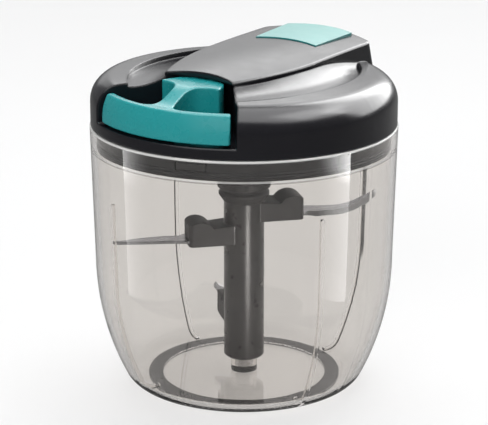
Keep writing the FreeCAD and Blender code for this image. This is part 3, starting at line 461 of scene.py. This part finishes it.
def clearMaterial():
    # Clear moulded plastic with a pale painted highlight band at its cut rim, a pale painted highlight band where the
    # lid skirt's foot shows through, and a dark painted shade band just under that. Rays from lamps pass straight
    # through it
    c = clearFinish
    material, tree, shader = startMaterial("clear_bowl")
    shader.inputs["Base Color"].default_value = rgba(c["tint"])
    shader.inputs["IOR"].default_value = c["ior"]
    shader.inputs["Transmission Weight"].default_value = 1.0
    smears = noiseOn(tree, c["smears"], 4.0, c["smearStretch"])
    feed(tree, shader.inputs["Roughness"], valueBetween(tree, smears, *c["roughness"]))
    waves = noiseOn(tree, c["waves"], 1.0, c["waveStretch"])
    feed(tree, shader.inputs["Normal"], bumpFrom(tree, waves, c["waviness"]))
    height = axesOf(tree, placeOn(tree))["Z"]
    # Painted highlight bands at the rim and at the skirt's foot, then a painted shade band under the foot
    lines = mathOn(tree, "MAXIMUM", bandMask(tree, height, *c["rimHighlight"]), bandMask(tree, height, *c["skirtFootHighlight"]))
    surface = mixShaders(tree, lines, shader.outputs[0], plainShader(tree, c["highlightTone"], c["highlightRoughness"]))
    surface = mixShaders(tree, bandMask(tree, height, *c["skirtFootShadow"]), surface,
                         plainShader(tree, c["shadowTone"], c["shadowRoughness"]))
    passing = addNode(tree, "BsdfTransparent")
    passing.inputs["Color"].default_value = rgba(c["lampTint"])
    path = addNode(tree, "LightPath")
    surface = mixShaders(tree, path.outputs["Is Shadow Ray"], surface, passing.outputs[0])
    tree.links.new(surface, tree.nodes["Material Output"].inputs["Surface"])
    return material


steelFinishes = {
    "spring_steel": {"tone": (0.2, 0.23, 0.32), "roughness": (0.22, 0.36), "lines": (1.0, 1.0, 12.0), "scale": 500.0,
                     "darker": 0.86, "lineDepth": 0.004 * mm, "edge": 0.2 * mm},
    "steel_parts": {"tone": (0.5, 0.5, 0.51), "roughness": (0.22, 0.4), "lines": (1.0, 1.0, 25.0), "scale": 420.0,
                    "darker": 0.86, "lineDepth": 0.004 * mm, "edge": 0.2 * mm},
}


def steelMaterial(name):
    # Turned or rolled steel, with level lines round it
    finish = steelFinishes[name]
    material, tree, shader = startMaterial(name)
    shader.inputs["Metallic"].default_value = 1.0
    lines = noiseOn(tree, finish["scale"], 5.0, finish["lines"])
    tones = rgba(finish["tone"], finish["darker"]), rgba(finish["tone"])
    feed(tree, shader.inputs["Base Color"], toneBetween(tree, lines, *tones))
    feed(tree, shader.inputs["Roughness"], valueBetween(tree, lines, *finish["roughness"]))
    feed(tree, shader.inputs["Normal"], bumpFrom(tree, lines, finish["lineDepth"], softEdges(tree, finish["edge"])))
    return material


bladeFinish = {
    "flatTone": (0.3, 0.3, 0.31), "flatRoughness": (0.2, 0.3), "alongLines": (4.0, 220.0, 1.0),
    "groundTone": (0.6, 0.6, 0.61), "groundRoughness": (0.3, 0.42), "acrossLines": (260.0, 10.0, 1.0),
    "darker": 0.8, "lineDepth": 0.004 * mm,
}


def bladeMaterial():
    # Rolled sheet with lines along the blade, and a ground bevel with grinding lines across it
    b = bladeFinish
    material, tree, shader = startMaterial("blade_steel")
    shader.inputs["Metallic"].default_value = 1.0
    ground = addNode(tree, "Attribute", attribute_name="ground").outputs["Fac"]
    along, across = [noiseOn(tree, 1.0, 5.0, b[key], "UV") for key in ("alongLines", "acrossLines")]
    flat = toneBetween(tree, along, rgba(b["flatTone"], b["darker"]), rgba(b["flatTone"]))
    bevel = toneBetween(tree, across, rgba(b["groundTone"], b["darker"]), rgba(b["groundTone"]))
    feed(tree, shader.inputs["Base Color"], mixOf(tree, "RGBA", ground, flat, bevel))
    roughness = mixOf(tree, "FLOAT", ground, valueBetween(tree, along, *b["flatRoughness"]),
                      valueBetween(tree, across, *b["groundRoughness"]))
    feed(tree, shader.inputs["Roughness"], roughness)
    depth = mixOf(tree, "FLOAT", ground, along, across)
    feed(tree, shader.inputs["Normal"], bumpFrom(tree, depth, b["lineDepth"]))
    return material


cordFinish = {
    "tones": ((0.5, 0.49, 0.46), (0.86, 0.85, 0.82)), "roughness": 0.75, "sheen": 0.25,
    "strands": 4.0, "lay": 1.1 / mm, "strandDepth": 0.05 * mm,
}


def cordMaterial(name, straight=False):
    # Braid: two sets of strands that wind round the cord opposite ways. Along is the length in metres and around is
    # the turn about the cord, from its own map, or on a straight run from its place
    c = cordFinish
    material, tree, shader = startMaterial(name)
    if straight:
        axes = axesOf(tree, placeOn(tree))
        centred = mathOn(tree, "SUBTRACT", axes["Z"], cordPath["level"] * mm)
        around, perTurn = mathOn(tree, "ARCTAN2", centred, axes["X"]), c["strands"]
    else:
        axes = axesOf(tree, placeOn(tree, "UV"))
        around, perTurn = axes["X"], c["strands"] * 2 * math.pi
    waves = []
    for sign in (1.0, -1.0):
        stretch = mathOn(tree, "MULTIPLY", axes["Y"], sign * c["lay"] * 2.0)
        waves.append(mathOn(tree, "SINE", mathOn(tree, "MULTIPLY_ADD", around, perTurn, stretch)))
    weave = mapped(tree, mathOn(tree, "MULTIPLY", *waves), -1.0, 1.0)
    low, high = [rgba(tone) for tone in c["tones"]]
    feed(tree, shader.inputs["Base Color"], toneBetween(tree, weave, low, high))
    feed(tree, shader.inputs["Normal"], bumpFrom(tree, weave, c["strandDepth"]))
    shader.inputs["Roughness"].default_value = c["roughness"]
    shader.inputs["Sheen Weight"].default_value = c["sheen"]
    return material


def makeMaterials():
    made = {name: mouldedMaterial(name) for name in mouldedFinishes}
    made.update({name: steelMaterial(name) for name in steelFinishes})
    made.update({"mint_plastic": mintPaintedLightMaterial(), "clear_bowl": clearMaterial(), "blade_steel": bladeMaterial(),
                 "cord": cordMaterial("cord"), "cordRun": cordMaterial("cordRun", straight=True)})
    return made


def paintNodes(materials):
    for part in frame["record"]["subparts"]:
        for slot in nodes[part["node"]].material_slots:
            slot.material = materials[part["material_slot"]]


# New pieces, worked out in millimetres

def makePiece(name, points, faces, material, body, uv=None, sharp=None, normals=None):
    mesh = bpy.data.meshes.new(name)
    mesh.from_pydata((points * mm).tolist(), [], faces.tolist() if isinstance(faces, np.ndarray) else faces)
    mesh.update()
    if uv is not None:
        layer = mesh.uv_layers.new(name="ownMap")
        corners = np.zeros(len(mesh.loops), np.int32)
        mesh.loops.foreach_get("vertex_index", corners)
        layer.data.foreach_set("uv", uv[corners].astype(np.float32).ravel())
    mesh.polygons.foreach_set("use_smooth", np.ones(len(mesh.polygons), bool))
    if sharp:
        mesh.set_sharp_from_angle(angle=math.radians(sharp))
    if normals is not None:
        mesh.normals_split_custom_set_from_vertices(normals.tolist())
    mesh.materials.append(material)
    piece = bpy.data.objects.new(name, mesh)
    bpy.context.scene.collection.objects.link(piece)
    if body:
        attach(piece, body)
    return piece


def smoothMin(first, second, blend):
    # The lower of two distances, with a hollow fillet where they are within blend of each other
    near = np.maximum(blend - np.abs(first - second), 0.0) / blend
    return np.minimum(first, second) - near * near * blend / 4


def roundedMax(first, second, radius):
    # The higher of two distances, so what both hold, with its edge rounded to a radius
    a, b = first + radius, second + radius
    return np.hypot(np.maximum(a, 0.0), np.maximum(b, 0.0)) + np.minimum(np.maximum(a, b), 0.0) - radius


def surfaceOfField(field, low, high, step):
    # Skin of the space where a field is below zero. Each cell of a grid that the skin crosses gets the mean of its
    # edges' crossings as a point, and each crossed grid edge gives a face through the four cells round it. The
    # points then move along the field's slope until the field is zero there
    axes = [np.arange(start, end + step, step) for start, end in zip(low, high)]
    values = field(*np.meshgrid(*axes, indexing="ij"))
    inside = values < 0
    cells = tuple(size - 1 for size in values.shape)
    total, count = np.zeros(cells + (3,)), np.zeros(cells)
    origin = np.stack(np.meshgrid(*[np.arange(size) for size in cells], indexing="ij"), axis=-1).astype(float)
    for axis in range(3):
        for corner in ((0, 0), (0, 1), (1, 0), (1, 1)):
            offset = list(corner)
            offset.insert(axis, 0)
            ends = []
            for along in (0, 1):
                offset[axis] = along
                ends.append(values[tuple(slice(o, o + size) for o, size in zip(offset, cells))])
            crossed = (ends[0] < 0) != (ends[1] < 0)
            part = np.where(crossed, ends[0] / np.where(crossed, ends[0] - ends[1], 1.0), 0.0)
            offset[axis] = 0
            place = origin + offset
            place[..., axis] += part
            total += place * crossed[..., None]
            count += crossed
    held = count > 0
    index = np.full(cells, -1)
    index[held] = np.arange(held.sum())
    points = total[held] / count[held][:, None] * step + np.array(low)
    faces = []
    for axis in range(3):
        one, two = (axis + 1) % 3, (axis + 2) % 3
        start = [slice(None)] * 3
        end = [slice(None)] * 3
        start[axis], end[axis] = slice(0, -1), slice(1, None)
        crossing = np.argwhere(inside[tuple(start)] != inside[tuple(end)])
        ring = []
        for back1, back2 in ((1, 1), (0, 1), (0, 0), (1, 0)):
            cell = crossing.copy()
            cell[:, one] -= back1
            cell[:, two] -= back2
            ring.append(index[tuple(cell.T)])
        quads = np.stack(ring, axis=1)
        outward = inside[tuple(crossing.T)]
        faces.append(np.where(outward[:, None], quads, quads[:, ::-1]))
    nudge, rounds, flattest = 0.01, 4, 0.25      # step for the slope, rounds of moving, least slope squared
    for _ in range(rounds):
        value = field(*points.T)
        slope = np.stack([(field(*(points + shift).T) - field(*(points - shift).T)) / (2 * nudge)
                          for shift in nudge * np.eye(3)], axis=1)
        points = points - slope * (value / np.maximum((slope ** 2).sum(axis=1), flattest))[:, None]
    return points, np.concatenate(faces), slope / np.linalg.norm(slope, axis=1, keepdims=True)


# Pull handle

handleShape = {
    "low": 115.6, "barTop": 127.1, "plateTop": 132.3,
    "outer": 61.0, "inner": 55.5, "halfAngle": 31.0,
    "plateRound": 14.2, "plateMiddle": -37.5, "plateFront": -36.2,
    "neckHalf": 3.5, "neckFrom": -55.6, "neckTo": -33.0, "barFillet": 8.0, "plateFillet": 9.0,
    "rampFrom": 54.5, "rampTo": 38.0,
    "frontLean": 2.7, "leanPower": 2.2, "leanLimit": 1.3, "topEdge": 0.7, "footEdge": 0.7, "cornerEdge": 1.2,
    "boreRadius": 1.0, "seatRadius": 2.9,      # about the cord's level and the knot's place, which are in cordPath
    "gridFrom": (-32.3, -62.1, 114.4), "gridTo": (32.3, -21.4, 133.2), "gridStep": 0.42,
}


def handleField(x, y, z):
    # Distance to the handle: a bar between two circles, a narrow neck and a round plate joined with fillets, under a
    # top that rises smoothly from the bar to the plate. The bar's front leans back by lean * (height share) ** power,
    # and the cord's bore and the knot's seat are taken out
    h, level, knotY = handleShape, cordPath["level"], cordPath["knotY"]
    radius = np.hypot(x, y)
    turn = np.abs(np.arctan2(x, -y)) - math.radians(h["halfAngle"])
    middle, half = (h["outer"] + h["inner"]) / 2, (h["outer"] - h["inner"]) / 2
    bar = roundedMax(np.abs(radius - middle) - half, radius * turn, h["cornerEdge"])
    plate = roundedMax(np.hypot(x, y - h["plateMiddle"]) - h["plateRound"], h["plateFront"] - y, h["cornerEdge"])
    neckMiddle, neckHalfLength = (h["neckFrom"] + h["neckTo"]) / 2, (h["neckTo"] - h["neckFrom"]) / 2
    neck = np.maximum(np.abs(x) - h["neckHalf"], np.abs(y - neckMiddle) - neckHalfLength)
    outline = smoothMin(smoothMin(bar, neck, h["barFillet"]), plate, h["plateFillet"])
    ramp = np.clip((radius - h["rampFrom"]) / (h["rampTo"] - h["rampFrom"]), 0.0, 1.0)
    top = z - h["barTop"] - (h["plateTop"] - h["barTop"]) * ramp * ramp * (3 - 2 * ramp)
    share = np.clip((z - h["low"]) / (h["barTop"] - h["low"]), 0.0, h["leanLimit"])
    front = radius - h["outer"] + h["frontLean"] * share ** h["leanPower"]
    body = np.maximum(roundedMax(outline, top, h["topEdge"]), roundedMax(front, top, h["topEdge"]))
    body = roundedMax(body, h["low"] - z, h["footEdge"])
    bore = np.maximum(np.hypot(x, z - level) - h["boreRadius"], knotY - y)
    seat = np.maximum(np.hypot(x, y - knotY) - h["seatRadius"], z - level - h["seatRadius"])
    return np.maximum(np.maximum(body, -bore), -seat)


def makeHandle(materials):
    h = handleShape
    points, faces, normals = surfaceOfField(handleField, h["gridFrom"], h["gridTo"], h["gridStep"])
    handle = makePiece("pullHandle", points, faces, materials["teal_plastic"], "handle",
                       normals=normals)
    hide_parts("pull_handle")


# Cord: the run from the reel to the handle, the winding on the reel, and the knot

cordPath = {
    "radius": 0.7, "level": 124.775, "centre": 12.85, "pitch": 1.58, "turns": 5.5, "pointsPerTurn": 24,
    "firstDrop": 1.5, "dropTurns": 0.12,      # the winding's end comes up to the run, the rest stays clear below it
    "windingFrom": -53.9,      # degrees where the winding starts, just past the place where the run leaves it
    "run": [(7.2, -10.65), (3.5, -13.15), (0.0, -15.5), (0.0, -19.0), (0.0, -22.5), (0.0, -26.5), (0.0, -30.9)],
    "knotY": -33.6, "knotSize": 0.62, "knotDepth": 1.1, "knotPoints": 36,
}


def routePoints(points, resolution, closed=False):
    # Points along a smooth spline that has the given points as its control points, so many for each of them
    curve = bpy.data.curves.new("route", "CURVE")
    curve.dimensions = "3D"
    curve.resolution_u = resolution
    spline = curve.splines.new("NURBS")
    spline.points.add(len(points) - 1)
    spline.points.foreach_set("co", np.hstack([points, np.ones((len(points), 1))]).ravel())
    spline.order_u = 3
    spline.use_endpoint_u = not closed
    spline.use_cyclic_u = closed
    holder = bpy.data.objects.new("route", curve)
    mesh = bpy.data.meshes.new_from_object(holder)
    read = np.zeros(len(mesh.vertices) * 3)
    mesh.vertices.foreach_get("co", read)
    bpy.data.meshes.remove(mesh)
    bpy.data.objects.remove(holder)
    bpy.data.curves.remove(curve)
    return read.reshape(-1, 3)


def tubeAlong(path, radius, sides=14, closed=False):
    # A circle carried along a path: each point is path + radius * (cos turn * side + sin turn * over), where side is
    # level and over is square to it and the path. Also gives a map of turn and length in metres
    if closed:
        along = np.roll(path, -1, axis=0) - np.roll(path, 1, axis=0)
    else:
        along = np.gradient(path, axis=0)
    along /= np.linalg.norm(along, axis=1, keepdims=True)
    side = np.cross(along, (0.0, 0.0, 1.0))
    side /= np.linalg.norm(side, axis=1, keepdims=True)
    over = np.cross(side, along)
    turn = np.linspace(0, 2 * math.pi, sides, endpoint=False)
    ring = np.cos(turn)[None, :, None] * side[:, None, :] + np.sin(turn)[None, :, None] * over[:, None, :]
    points = (path[:, None, :] + radius * ring).reshape(-1, 3)
    rows = len(path)
    row = np.arange(rows if closed else rows - 1)
    r, c = [axis.ravel() for axis in np.meshgrid(row, np.arange(sides), indexing="ij")]
    r2, c2 = (r + 1) % rows, (c + 1) % sides
    faces = np.stack([r * sides + c, r * sides + c2, r2 * sides + c2, r2 * sides + c], axis=1).tolist()
    if not closed:
        faces.append(list(range(sides))[::-1])
        faces.append([(rows - 1) * sides + i for i in range(sides)])
    length = np.concatenate([[0.0], np.cumsum(np.linalg.norm(np.diff(path, axis=0), axis=1))]) * mm
    uv = np.stack([np.tile(turn / (2 * math.pi), rows), np.repeat(length, sides)], axis=1)
    return points, faces, uv


def makeCord(materials):
    c = cordPath
    run = np.array([(x, y, c["level"]) for x, y in c["run"]])
    points, faces, uv = tubeAlong(routePoints(run, resolution=40), c["radius"])
    cord = makePiece("pullCord", points, faces, materials["cordRun"], None, uv=uv)
    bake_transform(cord)
    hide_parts("pull_cord")

    perTurn = c["pointsPerTurn"]
    count = int(perTurn * c["turns"]) + 1
    turn = math.radians(c["windingFrom"]) + np.arange(count) * 2 * math.pi / perTurn
    reach = c["centre"] * 2 / (1 + math.cos(math.pi / perTurn))
    turns = np.arange(count) / perTurn
    height = c["level"] - c["firstDrop"] * np.minimum(turns / c["dropTurns"], 1.0) \
        - c["pitch"] * np.maximum(turns - c["dropTurns"], 0.0)
    coil = np.stack([reach * np.cos(turn), reach * np.sin(turn), height], axis=1)
    points, faces, uv = tubeAlong(routePoints(coil, resolution=4), c["radius"])
    winding = makePiece("cordWinding", points, faces, materials["cord"], "reel", uv=uv)
    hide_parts("cord_winding")

    # An overhand knot: a circle wound twice round its middle while its distance and depth swing three times
    swing = np.linspace(0, 2 * math.pi, c["knotPoints"], endpoint=False)
    out = (2 + np.cos(3 * swing)) * c["knotSize"]
    loop = np.stack([out * np.cos(2 * swing), c["knotY"] + np.sin(3 * swing) * c["knotSize"] * c["knotDepth"],
                     c["level"] + out * np.sin(2 * swing)], axis=1)
    points, faces, uv = tubeAlong(routePoints(loop, resolution=6, closed=True), c["radius"], closed=True)
    knot = makePiece("cordKnot", points, faces, materials["cord"], "handle", uv=uv)
    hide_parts("cord_knot")


# Blades: along is the distance from the column's axis, across is negative on the cutting side

bladeShape = {
    "root": 10.0, "reach": 24.0, "rootHalf": 5.5, "rootTaper": 1.0, "thickness": 1.2, "bendShare": 0.4,
    "edgeBow": 1.5, "backBow": 3.0, "nose": 3.0, "noseBack": 2.5, "noseDrop": 1.5, "nosePower": 1.7,
    "tipBack": 3.1, "tipWidth": 5.0,
    "bevel": 3.2, "bevelShare": 0.6, "bevelGrows": 3.0, "bevelLeast": 0.02,
    "edge": 0.12, "softened": 0.12, "softShare": 0.1,
    "rows": 60, "noseRows": 24, "noseStop": 0.995, "sharpAngle": 12.0, "mapScale": 10,
    "blades": {
        "upper_blade": {"height": 71.0, "turn": 49.0, "tip": 56.5, "rise": 6.0},
        "middle_blade": {"height": 62.0, "turn": 229.0, "tip": 54.0, "rise": 1.2},
        "lower_blade": {"height": 24.0, "turn": 139.0, "tip": 48.0, "rise": 2.0},
    },
}


def arcThrough(first, second, third, at):
    # Lower side, at the given places, of the circle through three points
    (x1, y1), (x2, y2), (x3, y3) = first, second, third
    d = 2 * (x1 * (y2 - y3) + x2 * (y3 - y1) + x3 * (y1 - y2))
    s1, s2, s3 = x1 * x1 + y1 * y1, x2 * x2 + y2 * y2, x3 * x3 + y3 * y3
    cx = (s1 * (y2 - y3) + s2 * (y3 - y1) + s3 * (y1 - y2)) / d
    cy = (s1 * (x3 - x2) + s2 * (x1 - x3) + s3 * (x2 - x1)) / d
    radius = math.hypot(x1 - cx, y1 - cy)
    return cy - np.sqrt(np.maximum(radius ** 2 - (at - cx) ** 2, 0.0))


def makeBlade(name, material):
    # A seven-sided section carried from root to tip: flat below, softened at the back, and ground down to the edge.
    # Past the bend the sheet follows a circle that lifts the tip by its rise
    b, blade = bladeShape, bladeShape["blades"][name]
    tip, half = blade["tip"], b["thickness"] / 2
    middle = (b["reach"] + tip) / 2
    inner = np.linspace(b["root"], tip - b["nose"], b["rows"], endpoint=False)
    nose = tip - b["nose"] * (1 - np.linspace(0, b["noseStop"], b["noseRows"])) ** 2
    along = np.concatenate([inner, nose])
    taper = b["rootHalf"] - b["rootTaper"] * (b["reach"] - along) / (b["reach"] - b["root"])
    noseFront, noseBack = (tip - b["nose"], b["tipBack"] - b["tipWidth"]), (tip - b["noseBack"], b["tipBack"])
    noseTip = (tip, b["tipBack"] - b["noseDrop"])
    pastFront, pastBack = [np.clip(along - start[0], 0, None) for start in (noseFront, noseBack)]
    front = np.where(along < b["reach"], -taper, np.where(
        along < noseFront[0],
        arcThrough((b["reach"], -b["rootHalf"]), (middle, -b["rootHalf"] - b["edgeBow"]), noseFront, along),
        noseFront[1] + (noseTip[1] - noseFront[1]) * (pastFront / b["nose"]) ** b["nosePower"]))
    back = np.where(along < b["reach"], taper, np.where(
        along < noseBack[0],
        arcThrough((b["reach"], b["rootHalf"]), (middle, b["rootHalf"] - b["backBow"]), noseBack, along),
        noseBack[1] - b["noseDrop"] * (pastBack / b["noseBack"]) ** 2))
    width = back - front
    grown = np.clip((along - b["reach"]) / b["bevelGrows"], b["bevelLeast"], 1.0)
    bevel = np.minimum(b["bevel"], b["bevelShare"] * width) * grown
    soft = np.minimum(b["softened"], b["softShare"] * width)
    lower, upper = -half, half
    section = [
        (back - soft, lower + 0 * along), (back, lower + soft), (back, upper - soft),
        (back - soft, upper + 0 * along), (front + bevel, upper + 0 * along),
        (front, np.where(along < b["reach"], upper, lower + b["edge"])), (front, lower + 0 * along),
    ]
    across = np.stack([pair[0] for pair in section], axis=1)
    raised = np.stack([pair[1] for pair in section], axis=1)
    bend = b["reach"] + (tip - b["reach"]) * b["bendShare"]
    sweep = ((tip - bend) ** 2 + blade["rise"] ** 2) / (2 * blade["rise"])
    lean = np.arcsin(np.clip((along - bend) / sweep, 0.0, 1.0))
    x = along[:, None] - np.sin(lean)[:, None] * raised
    z = (sweep - sweep * np.cos(lean))[:, None] + np.cos(lean)[:, None] * raised
    turn = math.radians(blade["turn"])
    points = np.stack([x * math.cos(turn) - across * math.sin(turn), x * math.sin(turn) + across * math.cos(turn),
                       z + blade["height"]], axis=-1).reshape(-1, 3)
    rows, sides = len(along), len(section)
    r, c = [axis.ravel() for axis in np.meshgrid(np.arange(rows - 1), np.arange(sides), indexing="ij")]
    c2 = (c + 1) % sides
    faces = np.stack([r * sides + c, (r + 1) * sides + c, (r + 1) * sides + c2, r * sides + c2], axis=1).tolist()
    bevelSide = 4      # the section's side from the top face down to the edge
    ground = ((c == bevelSide) & (np.repeat(along[:-1], sides) >= b["reach"])).astype(np.float32).tolist()
    faces += [list(range(sides)), [(rows - 1) * sides + i for i in range(sides)][::-1]]
    uv = np.stack([np.repeat(along, sides), across.ravel()], axis=1) * mm * b["mapScale"]
    piece = makePiece(name + "Ground", points, faces, material, "blades", uv=uv,
                      sharp=b["sharpAngle"])
    piece.data.attributes.new("ground", "FLOAT", "FACE").data.foreach_set("value", ground + [0.0, 0.0])
    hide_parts(name)


makeCamera()
makeWorld()
print("camera and world made")
materials = makeMaterials()
paintNodes(materials)
print("materials on the packed pieces")
makeHandle(materials)
print("pull handle made")
makeCord(materials)
print("cord, winding and knot made")
for bladeName in bladeShape["blades"]:
    makeBlade(bladeName, materials["blade_steel"])
print("blades made")
makeLamps()
print("lamps made")
makeFloor()
print("floor made")
bpy.context.scene.view_settings.view_transform = "Standard"
